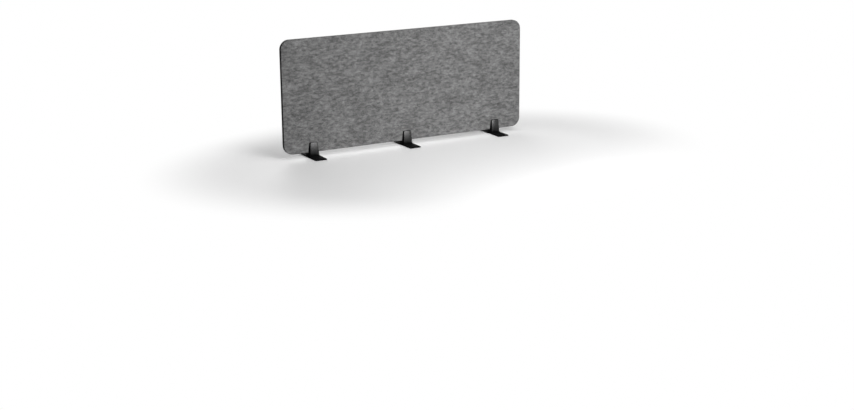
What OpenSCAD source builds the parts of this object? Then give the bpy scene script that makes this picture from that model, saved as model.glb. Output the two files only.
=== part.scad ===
// Free-standing acoustic divider: a pressed-felt panel held in the slots of three black feet.
// X runs along the panel, -Y is its front, and Z = 0 is the surface that it stands on.

/* [Panel] */
// Length of the panel
panel_w = 1200; // [900:10:1600]
// Height of the panel
panel_h = 500; // [300:10:700]
// Thickness of each of the two felt boards
board_t = 9; // [6:0.5:12]
// Radius of the panel's corners
panel_corner_r = 42; // [20:1:100]

/* [Feet] */
// Distance from an end of the panel to the middle of a side foot
side_foot_inset = 138; // [90:1:250]
// Length of a base plate, front to rear
plate_l = 190; // [160:5:260]
// Width of a base plate
plate_w = 56; // [54:1:80]
// Thickness of a base plate
plate_t = 3; // [3:0.5:6]
// Radius of a base plate's corners
plate_corner_r = 10; // [2:0.5:12]
// Chamfer round a base plate's edges
plate_chamfer = 0.4; // [0.2:0.1:1]

/* [Forks] */
// Height of the slot's floor above the base plate
floor_h = 17; // [14:0.5:25]
// Height of the jaws above the slot's floor
jaw_h = 45; // [30:0.5:60]
// Depth of a jaw at the base plate
jaw_root_t = 11; // [9:0.5:16]
// Depth of a jaw at its top
jaw_top_t = 6.5; // [5.5:0.5:9]
// Width of a jaw's outer face at the base plate
face_root_w = 40; // [37:1:46]
// Width of a jaw's outer face at its top
face_top_w = 35; // [28:1:37]
// Width of a jaw at its top, on the side that faces the felt
flare_top_w = 39; // [38:1:48]
// How far a jaw's outer face stands out in its middle
jaw_crown = 1.5; // [0.5:0.25:2.5]
// Margin between the fork's foot and the long edges of the base plate
fork_margin = 0.5; // [0.5:0.5:2]
// Radius of a jaw's two top corners
jaw_corner_r = 5; // [3:0.5:10]
// Radius of a jaw's other edges
jaw_edge_r = 1.5; // [0.5:0.1:2.5]

/* [Slots] */
// Clearance between the felt and a wall of the slot
slot_clear = 0.5; // [0.3:0.1:1]
// Height of the grip ribs, less than that clearance
rib_out = 0.3; // [0.1:0.05:0.3]
// Width of a grip rib
rib_w = 2; // [1:0.5:4]
// Distance between the two grip ribs of a wall
rib_spacing = 16; // [8:1:20]
// Chamfer that leads the panel into the slot
lead_in = 1.5; // [0.5:0.25:3]

/* [Fasteners] */
// Diameter of a screw
screw_d = 4; // [3:0.5:5]
// Length of a screw, head and all
screw_l = 12; // [10:0.5:13]
// Diameter of a screw's countersunk head
screw_head_d = 8; // [7:0.5:9]
// Width across the flats of the socket in a screw's head
socket_w = 2.5; // [2:0.5:3]
// Depth of the socket
socket_depth = 1.3; // [1:0.1:1.5]
// Distance between the screws of a fork, side to side
screw_gap_x = 32; // [24:1:36]
// Distance between the screws of a fork, front to rear
screw_gap_y = 26; // [22:1:30]
// Outer diameter of a threaded insert
insert_d = 6; // [5.5:0.5:7]
// Length of a threaded insert
insert_l = 8; // [6:0.5:10]
// Depth of the groove round the middle of an insert
insert_groove = 0.4; // [0.2:0.1:0.6]
// Free depth of the hole beyond an insert
insert_relief = 2; // [1:0.5:3]
// Radial gap between a fastener and its hole
fastener_gap = 0.05; // [0.02:0.01:0.1]
// Radial gap round a screw where it passes through the base plate
plate_hole_gap = 0.25; // [0.1:0.05:0.4]

/* [Pads] */
// Length of a non-slip pad, side to side
pad_l = 44; // [30:1:48]
// Width of a non-slip pad, front to rear
pad_w = 20; // [10:1:30]
// Thickness of a non-slip pad
pad_t = 1; // [0.5:0.25:2]
// Radius of a pad's corners
pad_corner_r = 4; // [1:0.5:5]
// Distance from an end of the base plate to a pad
pad_inset = 6; // [3:1:15]

/* [Hidden] */
$fn = 64;

// Places of the three feet along the panel
left_x = side_foot_inset - panel_w / 2;
centre_x = 0;
right_x = -left_x;
// The two ways that a piece can face along Y
front = -1;
rear = 1;

// Heights of the seats, from the standing surface upwards
plate_z = pad_t;
fork_z = plate_z + plate_t;
slot_z = fork_z + floor_h;
fork_h = floor_h + jaw_h;
slot_half = board_t + slot_clear;
flare_root_w = plate_w - 2 * fork_margin;

// How far the cutters run past what they cut
overrun = 1;
// Bands up a jaw, bands round its top corners, steps round each of its edges and across its face
side_bands = 5;
top_bands = 5;
edge_steps = 3;
crown_steps = 6;

function unit(v) = v / norm(v);
function mix(low, high, share) = low + (high - low) * share;

// How far an edge of radius r has drawn in at a depth below the top that it turns to
function drawn_in(r, below) = below >= r ? 0 : r - sqrt(r * r - (r - below) * (r - below));

// Points of the arc of radius r that rounds the corner at a point, between its two neighbours
function rounded_corner(before, corner, after, r) =
    let (
        u = unit(before - corner),
        v = unit(after - corner),
        half_angle = acos(u * v) / 2,
        centre = corner + unit(u + v) * r / sin(half_angle),
        start = corner + u * r / tan(half_angle) - centre,
        from = atan2(start.y, start.x),
        sweep = 180 - 2 * half_angle
    )
    [
        for (i = [0:edge_steps])
            let (angle = from + sweep * i / edge_steps)
            centre + r * [cos(angle), sin(angle)]
    ];

// Points across a front jaw's crowned face, from its left edge to its right one
function crowned_face(face_x, face_y) = [
    for (i = [0:crown_steps])
        let (across = 2 * i / crown_steps - 1)
        [across * face_x, jaw_crown * across * across - face_y]
];

// Front half of a fork's outline, from left to right, with its four corners rounded
function front_outline(face_x, face_y, flare_x) =
    let (
        crown = crowned_face(face_x, face_y),
        n = len(crown),
        left = [-flare_x, -slot_half],
        right = [flare_x, -slot_half]
    )
    concat(
        rounded_corner([-flare_x, 0], left, crown[0], jaw_edge_r),
        rounded_corner(left, crown[0], crown[1], jaw_edge_r),
        [for (i = [1:n - 2]) crown[i]],
        rounded_corner(crown[n - 2], crown[n - 1], right, jaw_edge_r),
        rounded_corner(crown[n - 1], right, [flare_x, 0], jaw_edge_r)
    );

// Outline of a fork at a height above its foot: its faces lean back, more towards the top, and its
// sides flare out to the slot's walls
function fork_outline(z) =
    let (
        share = z / fork_h,
        side_in = drawn_in(jaw_corner_r, fork_h - z),
        face_in = drawn_in(jaw_edge_r, fork_h - z),
        face_x = mix(face_root_w, face_top_w, share) / 2 - side_in,
        flare_x = mix(flare_root_w, flare_top_w, share) / 2 - side_in,
        face_y = slot_half + mix(jaw_root_t, jaw_top_t, share * share) - face_in,
        half = front_outline(face_x, face_y, flare_x)
    )
    concat(half, -half);

// Heights of the outlines: even steps up the jaws, then even turns round their top corners
fork_levels = concat(
    [for (i = [0:side_bands - 1]) (fork_h - jaw_corner_r) * i / side_bands],
    [for (i = [0:top_bands]) fork_h - jaw_corner_r + jaw_corner_r * sin(90 * i / top_bands)]
);

// A solid through outlines of equal length, one above the other
module loft(outlines, levels) {
    rings = len(levels);
    n = len(outlines[0]);
    points = [for (k = [0:rings - 1]) for (p = outlines[k]) [p.x, p.y, levels[k]]];
    sides = [
        for (k = [0:rings - 2]) for (j = [0:n - 1])
            let (a = k * n + j, b = k * n + (j + 1) % n)
            each [[a, a + n, b + n], [a, b + n, b]]
    ];
    bottom = [for (j = [0:n - 1]) j];
    top = [for (j = [n - 1:-1:0]) (rings - 1) * n + j];
    polyhedron(points = points, faces = concat([bottom, top], sides));
}

// A rectangle with round corners, centred
module rounded_rectangle(w, h, r) {
    square([w - 2 * r, h], center = true);
    square([w, h - 2 * r], center = true);
    for (x = [r - w / 2, w / 2 - r], y = [r - h / 2, h / 2 - r]) translate([x, y]) circle(r);
}

// One of the two boards that are bonded back to back
module felt_board(side) {
    color([0.36, 0.36, 0.37])
        translate([0, side * board_t / 2, slot_z + panel_h / 2])
        rotate([90, 0, 0])
        linear_extrude(board_t, center = true)
        rounded_rectangle(panel_w, panel_h, panel_corner_r, $fn = 128);
}

// Half of a base plate's section, from its middle out to a side whose two edges are chamfered
function half_section(reach) = [
    [0, 0], [reach - plate_chamfer, 0], [reach, plate_chamfer],
    [reach, plate_t - plate_chamfer], [reach - plate_chamfer, plate_t], [0, plate_t],
];

module whole_section(w) {
    polygon(half_section(w / 2));
    mirror([1, 0]) polygon(half_section(w / 2));
}

// A base plate without its holes: its section run both ways, and turned at its four round corners
module chamfered_plate() {
    side_x = plate_w / 2 - plate_corner_r;
    side_y = plate_l / 2 - plate_corner_r;
    rotate([90, 0, 0]) linear_extrude(2 * side_y, center = true) whole_section(plate_w);
    rotate([90, 0, 90]) linear_extrude(2 * side_x, center = true) whole_section(plate_l);
    for (x = [-side_x, side_x], y = [-side_y, side_y])
        translate([x, y, 0]) rotate_extrude() polygon(half_section(plate_corner_r));
}

// Repeats a fastener at the four screws of a fork
module at_screws() {
    for (x = [-screw_gap_x / 2, screw_gap_x / 2], y = [-screw_gap_y / 2, screw_gap_y / 2])
        translate([x, y, 0]) children();
}

// A countersunk screw as a solid of revolution, its head down, with a gap round it for its hole
module screw_form(gap, shank_gap, length) {
    head_r = screw_head_d / 2 + gap;
    shank_r = screw_d / 2 + shank_gap;
    rotate_extrude()
        polygon([[0, 0], [head_r, 0], [shank_r, head_r - shank_r], [shank_r, length], [0, length]]);
}

module base_plate(x) {
    color([0.06, 0.06, 0.065]) translate([x, 0, plate_z]) difference() {
        chamfered_plate();
        at_screws() screw_form(fastener_gap, plate_hole_gap, plate_t + overrun);
        at_screws() translate([0, 0, -overrun]) cylinder(h = overrun, r = screw_head_d / 2 + fastener_gap);
    }
}

// Space that the panel stands in, with the grip ribs left standing on both walls
module slot_space() {
    linear_extrude(jaw_h + overrun) difference() {
        square([flare_root_w + 2 * overrun, 2 * slot_half], center = true);
        for (side = [front, rear], x = [-rib_spacing / 2, rib_spacing / 2])
            translate([x, side * slot_half]) polygon([
                [-rib_w / 2, side * overrun], [-rib_w / 2, 0], [0, -side * rib_out], [rib_w / 2, 0],
                [rib_w / 2, side * overrun],
            ]);
    }
}

// Wedge that chamfers the top of both walls of the slot
module lead_in_space() {
    rotate([90, 0, 90]) linear_extrude(flare_root_w + 2 * overrun, center = true) polygon([
        [-slot_half, -lead_in], [slot_half, -lead_in],
        [slot_half + lead_in + overrun, overrun], [-slot_half - lead_in - overrun, overrun],
    ]);
}

module fork(x) {
    color([0.07, 0.07, 0.075]) translate([x, 0, fork_z]) difference() {
        loft([for (z = fork_levels) fork_outline(z)], fork_levels);
        translate([0, 0, floor_h]) slot_space();
        translate([0, 0, fork_h]) lead_in_space();
        at_screws() translate([0, 0, -overrun])
            cylinder(h = insert_l + insert_relief + overrun, r = insert_d / 2 + fastener_gap);
    }
}

module plate_screws(x) {
    color([0.2, 0.2, 0.21]) translate([x, 0, plate_z]) at_screws() difference() {
        screw_form(0, 0, screw_l);
        translate([0, 0, -overrun])
            cylinder(h = socket_depth + overrun, r = socket_w / sqrt(3), $fn = 6);
    }
}

// Brass sleeves that the screws turn into, pressed into the foot of the fork
module threaded_inserts(x) {
    bore_r = screw_d / 2 + fastener_gap;
    outer_r = insert_d / 2;
    groove_r = outer_r - insert_groove;
    groove_start = insert_l / 3;
    groove_end = insert_l - groove_start;
    color([0.72, 0.55, 0.25]) translate([x, 0, fork_z]) at_screws() rotate_extrude() polygon([
        [bore_r, 0], [outer_r, 0],
        [outer_r, groove_start], [groove_r, groove_start + insert_groove],
        [groove_r, groove_end - insert_groove], [outer_r, groove_end],
        [outer_r, insert_l], [bore_r, insert_l],
    ]);
}

module pad(x, side) {
    color([0.12, 0.12, 0.12])
        translate([x, side * (plate_l / 2 - pad_inset - pad_w / 2), 0])
        linear_extrude(pad_t) rounded_rectangle(pad_l, pad_w, pad_corner_r);
}

felt_board(front);  // front_felt_board
felt_board(rear);  // rear_felt_board
base_plate(left_x);  // left_base_plate
base_plate(centre_x);  // centre_base_plate
base_plate(right_x);  // right_base_plate
fork(left_x);  // left_fork
fork(centre_x);  // centre_fork
fork(right_x);  // right_fork
plate_screws(left_x);  // left_plate_screws
plate_screws(centre_x);  // centre_plate_screws
plate_screws(right_x);  // right_plate_screws
threaded_inserts(left_x);  // left_threaded_inserts
threaded_inserts(centre_x);  // centre_threaded_inserts
threaded_inserts(right_x);  // right_threaded_inserts
pad(left_x, front);  // left_front_pad
pad(centre_x, front);  // centre_front_pad
pad(right_x, front);  // right_front_pad
pad(left_x, rear);  // left_rear_pad
pad(centre_x, rear);  // centre_rear_pad
pad(right_x, rear);  // right_rear_pad
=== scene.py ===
import math

import bmesh
import bpy
from mathutils import Matrix, Vector


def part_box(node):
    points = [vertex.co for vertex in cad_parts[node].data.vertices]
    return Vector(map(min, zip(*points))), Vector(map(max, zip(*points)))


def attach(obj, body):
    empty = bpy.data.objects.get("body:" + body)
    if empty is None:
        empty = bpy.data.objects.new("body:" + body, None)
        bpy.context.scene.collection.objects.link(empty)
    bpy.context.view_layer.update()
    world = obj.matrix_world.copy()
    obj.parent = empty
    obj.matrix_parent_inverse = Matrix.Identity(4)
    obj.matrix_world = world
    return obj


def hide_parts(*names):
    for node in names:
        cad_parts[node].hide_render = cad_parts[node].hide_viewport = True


# A free-standing acoustic divider: a grey pressed-felt panel, held upright in three black feet
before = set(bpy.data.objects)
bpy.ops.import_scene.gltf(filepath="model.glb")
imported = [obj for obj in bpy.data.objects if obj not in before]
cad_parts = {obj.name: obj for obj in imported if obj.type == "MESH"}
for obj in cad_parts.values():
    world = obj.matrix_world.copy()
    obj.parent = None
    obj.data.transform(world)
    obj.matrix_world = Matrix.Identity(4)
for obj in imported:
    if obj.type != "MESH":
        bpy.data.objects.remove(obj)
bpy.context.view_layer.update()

# Camera, found from the panel's edges and corners and from the feet, with its angles in degrees
IMAGE_WIDTH_PX = 854
FOCAL_LENGTH_PX = 1442.4
SENSOR_WIDTH_MM = 36
CAMERA_PLACE = (-2.9773, -5.6276, 1.4700)
CAMERA_YAW = -28.714
CAMERA_PITCH = -15.428
CAMERA_ROLL = 0.492
CAMERA_LEVEL_TURN = 90

# Felt boards: their round corners, and how much the edge of the face and of the joint is rounded
CORNER_RADIUS = 0.042
CORNER_STEPS = 24
FACE_EDGE_RADIUS = 0.002
JOINT_EDGE_RADIUS = 0.0005
EDGE_STEPS = 4

# Hard parts: how much their sharp edges are rounded, and the turn that counts as sharp
FORK_EDGE_RADIUS = 0.0003
PLATE_EDGE_RADIUS = 0.00025
PAD_EDGE_RADIUS = 0.0002
HARD_EDGE_STEPS = 2
SHARP_TURN = math.radians(32)
FLAT_TURN = math.radians(0.5)

# Points this close are one point; an edge with this share of its length from front to rear
# counts as one that runs that way
WELD_DISTANCE = 0.000005
STRAIGHT_SHARE = 0.999

FEET = ("left", "centre", "right")

# Felt colours: the ground's darkest and lightest, the fibres on it, and the painted shade on its
# edges
FELT_DARK = (0.090, 0.090, 0.090)
FELT_LIGHT = (0.281, 0.281, 0.281)
LIGHT_FIBRE = (0.420, 0.420, 0.420)
DARK_FIBRE = (0.050, 0.050, 0.050)
EDGE_SHADE_FELT = (0.025, 0.025, 0.025)

# Each hard finish's darkest and lightest colour
COAT_COLOURS = ((0.0050, 0.0050, 0.0052), (0.0080, 0.0080, 0.0082))
MOULDING_COLOURS = ((0.0030, 0.0030, 0.0031), (0.0050, 0.0050, 0.0052))
STEEL_COLOURS = ((0.10, 0.10, 0.105), (0.18, 0.18, 0.185))
BRASS_COLOURS = ((0.55, 0.38, 0.13), (0.72, 0.52, 0.22))
RUBBER_COLOURS = ((0.012, 0.012, 0.012), (0.022, 0.022, 0.022))

# Floor: its colour as seen, its colours near and far for the light that it throws back, and where
# it fades to white, as distances from a point in front of the divider
FLOOR_SIZE = 60
FLOOR_COLOUR = (0.95, 0.95, 0.95)
NEAR_BOUNCE = (0.42, 0.42, 0.42)
FAR_BOUNCE = (0.05, 0.05, 0.05)
BOUNCE_START = 0.32
BOUNCE_END = 0.60
FADE_STRETCH = 1.35
FADE_MIDDLE = 0.25
FADE_START = 0.60
FADE_END = 0.98

# Surround: how strongly its white lights the divider
SURROUND_LIGHT = 0.008

# Soft boxes: name, place, the point that it faces, width, height and watts
SOFT_BOXES = (
    ("soft_box_above", (0.45, -0.5, 2.3), (0, 0, 0.2), 2.2, 2.4, 26),
    ("soft_box_front", (0.30, -2.6, 1.6), (0, 0, 0.1), 1.6, 1.2, 40),
    ("soft_box_low", (0.46, -1.9, 0.33), (0, 0, 0.2), 1.55, 0.58, 20),
    ("soft_box_behind", (0.5, 2.9, 0.60), (0, 0, 0.25), 2.4, 0.9, 66),
)

# The Mix node's sockets for colours
FIRST_COLOUR, SECOND_COLOUR, BLENDED_COLOUR = 6, 7, 2


# Material helpers

def new_material(name):
    """An empty material, its node tree and its Principled shader"""
    material = bpy.data.materials.new(name)
    material.use_nodes = True
    return material, material.node_tree, material.node_tree.nodes["Principled BSDF"]


def feed(tree, socket, value):
    """Links a node's output to a socket, or sets the socket to a constant"""
    if isinstance(value, bpy.types.NodeSocket):
        tree.links.new(value, socket)
    else:
        socket.default_value = value


def set_sockets(tree, node, **inputs):
    """Feeds a node's sockets by name, with _ for each space"""
    for name, value in inputs.items():
        feed(tree, node.inputs[name.replace("_", " ")], value)


def add_node(tree, kind, settings=None, **inputs):
    """A node with its settings and its fed sockets"""
    node = tree.nodes.new(kind)
    for name, value in (settings or {}).items():
        setattr(node, name, value)
    set_sockets(tree, node, **inputs)
    return node


def object_coordinates(tree):
    """The place of each point on the piece"""
    return add_node(tree, "ShaderNodeTexCoord").outputs["Object"]


def surface_place(tree, stretch=(1, 1, 1), turn=(0, 0, 0), shift=(0, 0, 0)):
    """Object coordinates, stretched, turned and shifted"""
    mapping = add_node(tree, "ShaderNodeMapping", Vector=object_coordinates(tree), Scale=stretch,
                       Rotation=turn, Location=shift)
    return mapping.outputs["Vector"]


def noise(tree, place, scale, detail, roughness, distortion=0.0):
    """Soft noise from 0 to 1"""
    node = add_node(tree, "ShaderNodeTexNoise", Vector=place, Scale=scale, Detail=detail,
                    Roughness=roughness, Distortion=distortion)
    return node.outputs["Fac"]


def combine(tree, operation, first, second=0.0):
    """Two values joined by one operation"""
    node = add_node(tree, "ShaderNodeMath", {"operation": operation})
    feed(tree, node.inputs[0], first)
    feed(tree, node.inputs[1], second)
    return node.outputs[0]


def weighted_sum(tree, *parts):
    """Values added up, each times its weight"""
    total = None
    for value, weight in parts:
        share = combine(tree, "MULTIPLY", value, weight)
        total = share if total is None else combine(tree, "ADD", total, share)
    return total


def remap(tree, value, from_low, from_high, to_low=0.0, to_high=1.0):
    """A value carried from one range to another, eased at both ends and held there"""
    node = add_node(tree, "ShaderNodeMapRange", {"interpolation_type": "SMOOTHSTEP"}, Value=value,
                    From_Min=from_low, From_Max=from_high, To_Min=to_low, To_Max=to_high)
    return node.outputs["Result"]


def blend_colours(tree, share, first, second):
    """A colour between two, by a share; each is an output or three numbers"""
    node = add_node(tree, "ShaderNodeMix", {"data_type": "RGBA"}, Factor=share)
    for socket, colour in ((FIRST_COLOUR, first), (SECOND_COLOUR, second)):
        fed = colour if isinstance(colour, bpy.types.NodeSocket) else (*colour, 1)
        feed(tree, node.inputs[socket], fed)
    return node.outputs[BLENDED_COLOUR]


def lay_over(tree, ground, cover, strength, colour):
    """A colour laid over another where a cover from 0 to 1 says, at some strength"""
    return blend_colours(tree, combine(tree, "MULTIPLY", cover, strength), ground, colour)


def height_above_rest(tree):
    """Height above the standing surface"""
    return add_node(tree, "ShaderNodeSeparateXYZ", Vector=object_coordinates(tree)).outputs["Z"]


def outward_share(tree):
    """How squarely a surface faces front or rear, from 0 to 1"""
    normal = add_node(tree, "ShaderNodeTexCoord").outputs["Normal"]
    parts = add_node(tree, "ShaderNodeSeparateXYZ", Vector=normal)
    return combine(tree, "ABSOLUTE", parts.outputs["Y"])


def raise_surface(tree, shader, height, strength, distance):
    """Bump from a height"""
    bump = add_node(tree, "ShaderNodeBump", Height=height, Strength=strength, Distance=distance)
    set_sockets(tree, shader, Normal=bump.outputs["Normal"])


def curved_fibres(tree, place, scale, width, cover):
    """Fine curved lines, broken up so that only some of them lie on top"""
    course = noise(tree, place, scale, detail=1.0, roughness=0.5, distortion=1.2)
    off_line = combine(tree, "ABSOLUTE", combine(tree, "SUBTRACT", course, 0.5))
    line = remap(tree, off_line, 0.0, width, 1.0, 0.0)
    patches = noise(tree, place, scale * 0.55, detail=2.0, roughness=0.6)
    shown = remap(tree, patches, cover, cover + 0.12)
    return combine(tree, "MULTIPLY", line, shown)


# Materials

def pressed_felt():
    """Mottled grey felt: clouds and curved flecks, fibres on top, and painted shade darkening the
    edges
    """
    material, tree, shader = new_material("pressed_felt")

    clouds_at = surface_place(tree, (1.0, 1.0, 1.4), shift=(3.1, 0, 1.7))
    flecks_at = surface_place(tree, (1.0, 1.6, 2.1))
    specks_at = surface_place(tree, (1.0, 1.6, 1.9), shift=(0.4, 0.2, 0.7))
    lay_at = surface_place(tree, (1.0, 2.0, 3.5), turn=(0, 0.16, 0))
    clouds = noise(tree, clouds_at, scale=11.0, detail=3.0, roughness=0.55)
    flecks = noise(tree, flecks_at, scale=47.0, detail=4.0, roughness=0.55, distortion=0.25)
    specks = noise(tree, specks_at, scale=170.0, detail=4.0, roughness=0.65, distortion=0.6)
    lay = noise(tree, lay_at, scale=420.0, detail=4.0, roughness=0.7, distortion=2.2)
    tone = weighted_sum(tree, (clouds, 0.16), (flecks, 0.46), (specks, 0.22), (lay, 0.16))
    colour = blend_colours(tree, remap(tree, tone, 0.38, 0.68), FELT_DARK, FELT_LIGHT)

    strands_at = surface_place(tree, (1.0, 1.3, 2.6), shift=(1.9, 0.3, 4.1))
    dark_at = surface_place(tree, (1.0, 1.3, 1.7))
    light_at = surface_place(tree, (1.0, 1.3, 1.6), shift=(5.2, 1.1, 2.3))
    strands = curved_fibres(tree, strands_at, scale=90.0, width=0.030, cover=0.44)
    dark_fibres = curved_fibres(tree, dark_at, scale=190.0, width=0.030, cover=0.46)
    light_fibres = curved_fibres(tree, light_at, scale=230.0, width=0.028, cover=0.46)
    colour = lay_over(tree, colour, strands, 0.50, LIGHT_FIBRE)
    colour = lay_over(tree, colour, dark_fibres, 0.65, DARK_FIBRE)
    colour = lay_over(tree, colour, light_fibres, 0.60, LIGHT_FIBRE)

    # Painted shade: faces that look neither front nor rear are darkened towards the edge shade
    # colour
    painted_edge_shade = remap(tree, outward_share(tree), 0.2, 0.8, 0.34, 0.0)
    colour = blend_colours(tree, painted_edge_shade, colour, EDGE_SHADE_FELT)
    set_sockets(tree, shader, Base_Color=colour, Roughness=0.95, Specular_IOR_Level=0.03,
                Sheen_Weight=0.2, Sheen_Roughness=0.4)
    height = weighted_sum(tree, (lay, 0.5), (specks, 0.3), (light_fibres, 0.2))
    raise_surface(tree, shader, height, strength=0.5, distance=0.0006)
    return material


def powder_coat():
    """Matt black powder coat with its fine orange-peel grain"""
    material, tree, shader = new_material("powder_coat")
    grain = noise(tree, surface_place(tree), scale=1500.0, detail=2.0, roughness=0.6)
    dust_at = surface_place(tree, shift=(0.3, 0.6, 0.1))
    dust = noise(tree, dust_at, scale=40.0, detail=3.0, roughness=0.5)
    set_sockets(tree, shader, Base_Color=blend_colours(tree, dust, *COAT_COLOURS),
                Roughness=remap(tree, grain, 0.3, 0.7, 0.72, 0.85), Specular_IOR_Level=0.006)
    raise_surface(tree, shader, grain, strength=0.3, distance=0.0002)
    return material


def satin_moulding():
    """Black moulding, satin on its outer faces and matt on its sides; its reflection is turned down
    on the sides and towards the plate, a painted shade that darkens them"""
    material, tree, shader = new_material("satin_moulding")
    grain = noise(tree, surface_place(tree), scale=2200.0, detail=2.0, roughness=0.5)
    outward = outward_share(tree)
    # Painted shade: the reflection is weaker on the sides and fades towards the plate
    painted_side_shade = remap(tree, outward, 0.85, 0.985, 0.05, 0.85)
    painted_low_shade = remap(tree, height_above_rest(tree), 0.006, 0.058, 0.42, 1.0)
    satin = remap(tree, outward, 0.75, 0.95, 0.6, 0.22)
    set_sockets(tree, shader, Base_Color=blend_colours(tree, grain, *MOULDING_COLOURS),
                Roughness=weighted_sum(tree, (satin, 1.0), (grain, 0.06)), IOR=1.36,
                Specular_IOR_Level=combine(tree, "MULTIPLY", painted_side_shade, painted_low_shade))
    raise_surface(tree, shader, grain, strength=0.12, distance=0.0001)
    return material


def turned_metal(name, stretch, scale, colours, smoothest, roughest):
    """Bare metal with the marks of its turning"""
    material, tree, shader = new_material(name)
    turning = noise(tree, surface_place(tree, stretch), scale, detail=3.0, roughness=0.6)
    set_sockets(tree, shader, Base_Color=blend_colours(tree, turning, *colours), Metallic=1.0,
                Roughness=remap(tree, turning, 0.3, 0.7, smoothest, roughest))
    return material


def blackened_steel():
    """Dark zinc finish of the screws"""
    return turned_metal("blackened_steel", (1, 1, 1), 900.0, STEEL_COLOURS, 0.3, 0.45)


def turned_brass():
    """Brass of the threaded inserts"""
    return turned_metal("turned_brass", (1, 1, 6), 700.0, BRASS_COLOURS, 0.25, 0.4)


def pad_rubber():
    """Dull black rubber of the pads"""
    material, tree, shader = new_material("pad_rubber")
    grain = noise(tree, surface_place(tree), scale=1800.0, detail=3.0, roughness=0.6)
    set_sockets(tree, shader, Base_Color=blend_colours(tree, grain, *RUBBER_COLOURS),
                Roughness=0.85)
    raise_surface(tree, shader, grain, strength=0.4, distance=0.0002)
    return material


# Pieces

def finish_piece(shape, name, material, body, slot, *nodes):
    """Makes an object of a mesh, rides it on its body and lets it stand for its CAD nodes"""
    mesh = bpy.data.meshes.new(name)
    shape.to_mesh(mesh)
    shape.free()
    mesh.materials.append(material)
    piece = bpy.data.objects.new(name, mesh)
    bpy.context.scene.collection.objects.link(piece)
    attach(piece, body)
    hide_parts(*nodes)


def give_finish(node, material):
    """Puts a material on a CAD part that shows as it is"""
    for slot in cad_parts[node].material_slots:
        slot.material = material


def round_edges(shape, edges, radius, steps):
    """Rounds some edges of a mesh"""
    bmesh.ops.bevel(shape, geom=edges, offset=radius, offset_type="OFFSET", segments=steps,
                    profile=0.5, affect="EDGES", clamp_overlap=True, material=-1)


def edges_through(shape):
    """The straight edges of a mesh that run from front to rear"""
    found = []
    for edge in shape.edges:
        run = edge.verts[1].co - edge.verts[0].co
        if abs(run.y) > STRAIGHT_SHARE * run.length:
            found.append(edge)
    return found


def rim_edges(shape, y):
    """The edges of a mesh that lie in the plane at this y"""
    return [e for e in shape.edges if all(abs(v.co.y - y) < WELD_DISTANCE for v in e.verts)]


def felt_board(node, outer_y, inner_y, material):
    """A board with round corners, a softly worn edge round its face and a crisp one at the joint"""
    low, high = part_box(node)
    shape = bmesh.new()
    bmesh.ops.create_cube(shape, size=1)
    bmesh.ops.scale(shape, vec=high - low, verts=shape.verts)
    bmesh.ops.translate(shape, vec=(low + high) / 2, verts=shape.verts)
    round_edges(shape, edges_through(shape), CORNER_RADIUS, CORNER_STEPS)
    round_edges(shape, rim_edges(shape, outer_y), FACE_EDGE_RADIUS, EDGE_STEPS)
    round_edges(shape, rim_edges(shape, inner_y), JOINT_EDGE_RADIUS, EDGE_STEPS)
    for face in shape.faces:
        face.smooth = len(face.verts) == 4
    finish_piece(shape, node + "_felt", material, "panel", "felt", node)


def softened_piece(node, body, slot, radius, material):
    """A copy of a hard part with its sharp edges rounded, which stands for it"""
    shape = bmesh.new()
    shape.from_mesh(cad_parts[node].data)
    bmesh.ops.remove_doubles(shape, verts=shape.verts, dist=WELD_DISTANCE)
    bmesh.ops.dissolve_limit(shape, angle_limit=FLAT_TURN, verts=shape.verts, edges=shape.edges)
    joined = [e for e in shape.edges if len(e.link_faces) == 2]
    sharp = [e for e in joined if e.calc_face_angle() > SHARP_TURN]
    round_edges(shape, sharp, radius, HARD_EDGE_STEPS)
    for face in shape.faces:
        face.smooth = True
    finish_piece(shape, node + "_finish", material, body, slot, node)


def dress_panel(felt):
    """Gives the two boards their shapes and their felt"""
    front_low, front_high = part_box("front_felt_board")
    rear_low, rear_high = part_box("rear_felt_board")
    felt_board("front_felt_board", front_low.y, front_high.y, felt)
    felt_board("rear_felt_board", rear_high.y, rear_low.y, felt)


def dress_feet(coat, moulding, steel, brass, rubber):
    """Gives each foot's parts their shapes and finishes"""
    for foot in FEET:
        body = foot + "_foot"
        softened_piece(foot + "_base_plate", body, "plate_paint", PLATE_EDGE_RADIUS, coat)
        softened_piece(foot + "_fork", body, "fork_moulding", FORK_EDGE_RADIUS, moulding)
        for side in ("front", "rear"):
            softened_piece(f"{foot}_{side}_pad", body, "pad_rubber", PAD_EDGE_RADIUS, rubber)
        give_finish(foot + "_plate_screws", steel)
        give_finish(foot + "_threaded_inserts", brass)


# Stage

def shown_rays(tree):
    """1 for rays that show the surround: straight to the camera, mirrored or passed through"""
    ray = add_node(tree, "ShaderNodeLightPath")
    shown = combine(tree, "MAXIMUM", ray.outputs["Is Camera Ray"], ray.outputs["Is Glossy Ray"])
    return combine(tree, "MAXIMUM", shown, ray.outputs["Is Transmission Ray"])


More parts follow.
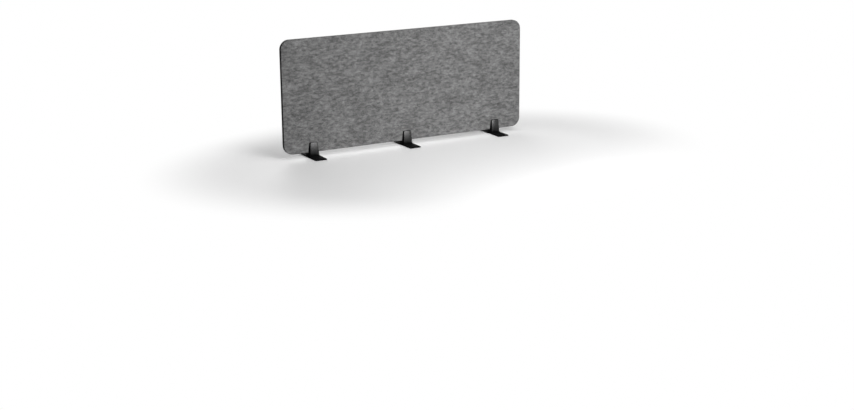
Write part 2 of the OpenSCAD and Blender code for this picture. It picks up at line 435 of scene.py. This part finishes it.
def pale_floor():
    """Real shade and shadow near the divider, fading into the plain white of the surround"""
    material, tree, shader = new_material("pale_floor")
    shown = shown_rays(tree)
    place = surface_place(tree, (1 / FADE_STRETCH, 1, 1), shift=(0, FADE_MIDDLE, 0))
    length = add_node(tree, "ShaderNodeVectorMath", {"operation": "LENGTH"}, Vector=place)
    reach = length.outputs["Value"]
    far_share = remap(tree, reach, BOUNCE_START, BOUNCE_END)
    bounce = blend_colours(tree, far_share, NEAR_BOUNCE, FAR_BOUNCE)
    colour = blend_colours(tree, shown, bounce, FLOOR_COLOUR)
    set_sockets(tree, shader, Base_Color=colour, Roughness=0.65, Specular_IOR_Level=0.2)
    share = combine(tree, "MULTIPLY", remap(tree, reach, FADE_START, FADE_END), shown)
    white = add_node(tree, "ShaderNodeEmission", Color=(1, 1, 1, 1), Strength=1.0)
    faded = add_node(tree, "ShaderNodeMixShader")
    sources = (share, shader.outputs["BSDF"], white.outputs["Emission"])
    for socket, source in zip(faded.inputs, sources):
        feed(tree, socket, source)
    set_sockets(tree, tree.nodes["Material Output"], Surface=faded.outputs["Shader"])
    return material


def add_floor():
    """A wide floor under the divider"""
    bpy.ops.mesh.primitive_plane_add(size=FLOOR_SIZE)
    floor = bpy.context.object
    floor.name = "floor"
    floor.data.materials.append(pale_floor())


def add_soft_light(name, place, target, width, height, power):
    """A rectangular soft box that faces a point"""
    lamp = bpy.data.lights.new(name, "AREA")
    lamp.shape = "RECTANGLE"
    lamp.size = width
    lamp.size_y = height
    lamp.energy = power
    holder = bpy.data.objects.new(name, lamp)
    bpy.context.scene.collection.objects.link(holder)
    holder.location = place
    facing = Vector(target) - Vector(place)
    holder.rotation_euler = facing.to_track_quat("-Z", "Y").to_euler()


def light_stage():
    """Soft boxes above, in front, low in front and behind, and a white surround"""
    for soft_box in SOFT_BOXES:
        add_soft_light(*soft_box)
    world = bpy.data.worlds.new("white_surround")
    bpy.context.scene.world = world
    world.use_nodes = True
    tree = world.node_tree
    strength = remap(tree, shown_rays(tree), 0.0, 1.0, SURROUND_LIGHT, 1.0)
    set_sockets(tree, tree.nodes["Background"], Color=(1, 1, 1, 1), Strength=strength)


def add_camera():
    """The camera at the photograph's place and angle"""
    lens = bpy.data.cameras.new("camera")
    lens.sensor_fit = "HORIZONTAL"
    lens.sensor_width = SENSOR_WIDTH_MM
    lens.lens = SENSOR_WIDTH_MM * FOCAL_LENGTH_PX / IMAGE_WIDTH_PX
    camera = bpy.data.objects.new("camera", lens)
    bpy.context.scene.collection.objects.link(camera)
    turn = Matrix.Rotation(math.radians(CAMERA_YAW), 4, "Z")
    turn @= Matrix.Rotation(math.radians(CAMERA_PITCH), 4, "X")
    turn @= Matrix.Rotation(math.radians(CAMERA_ROLL), 4, "Y")
    turn @= Matrix.Rotation(math.radians(CAMERA_LEVEL_TURN), 4, "X")
    camera.matrix_world = Matrix.Translation(CAMERA_PLACE) @ turn
    bpy.context.scene.camera = camera


add_camera()
dress_panel(pressed_felt())
dress_feet(powder_coat(), satin_moulding(), blackened_steel(), turned_brass(), pad_rubber())
add_floor()
light_stage()
bpy.context.scene.view_settings.view_transform = "Standard"
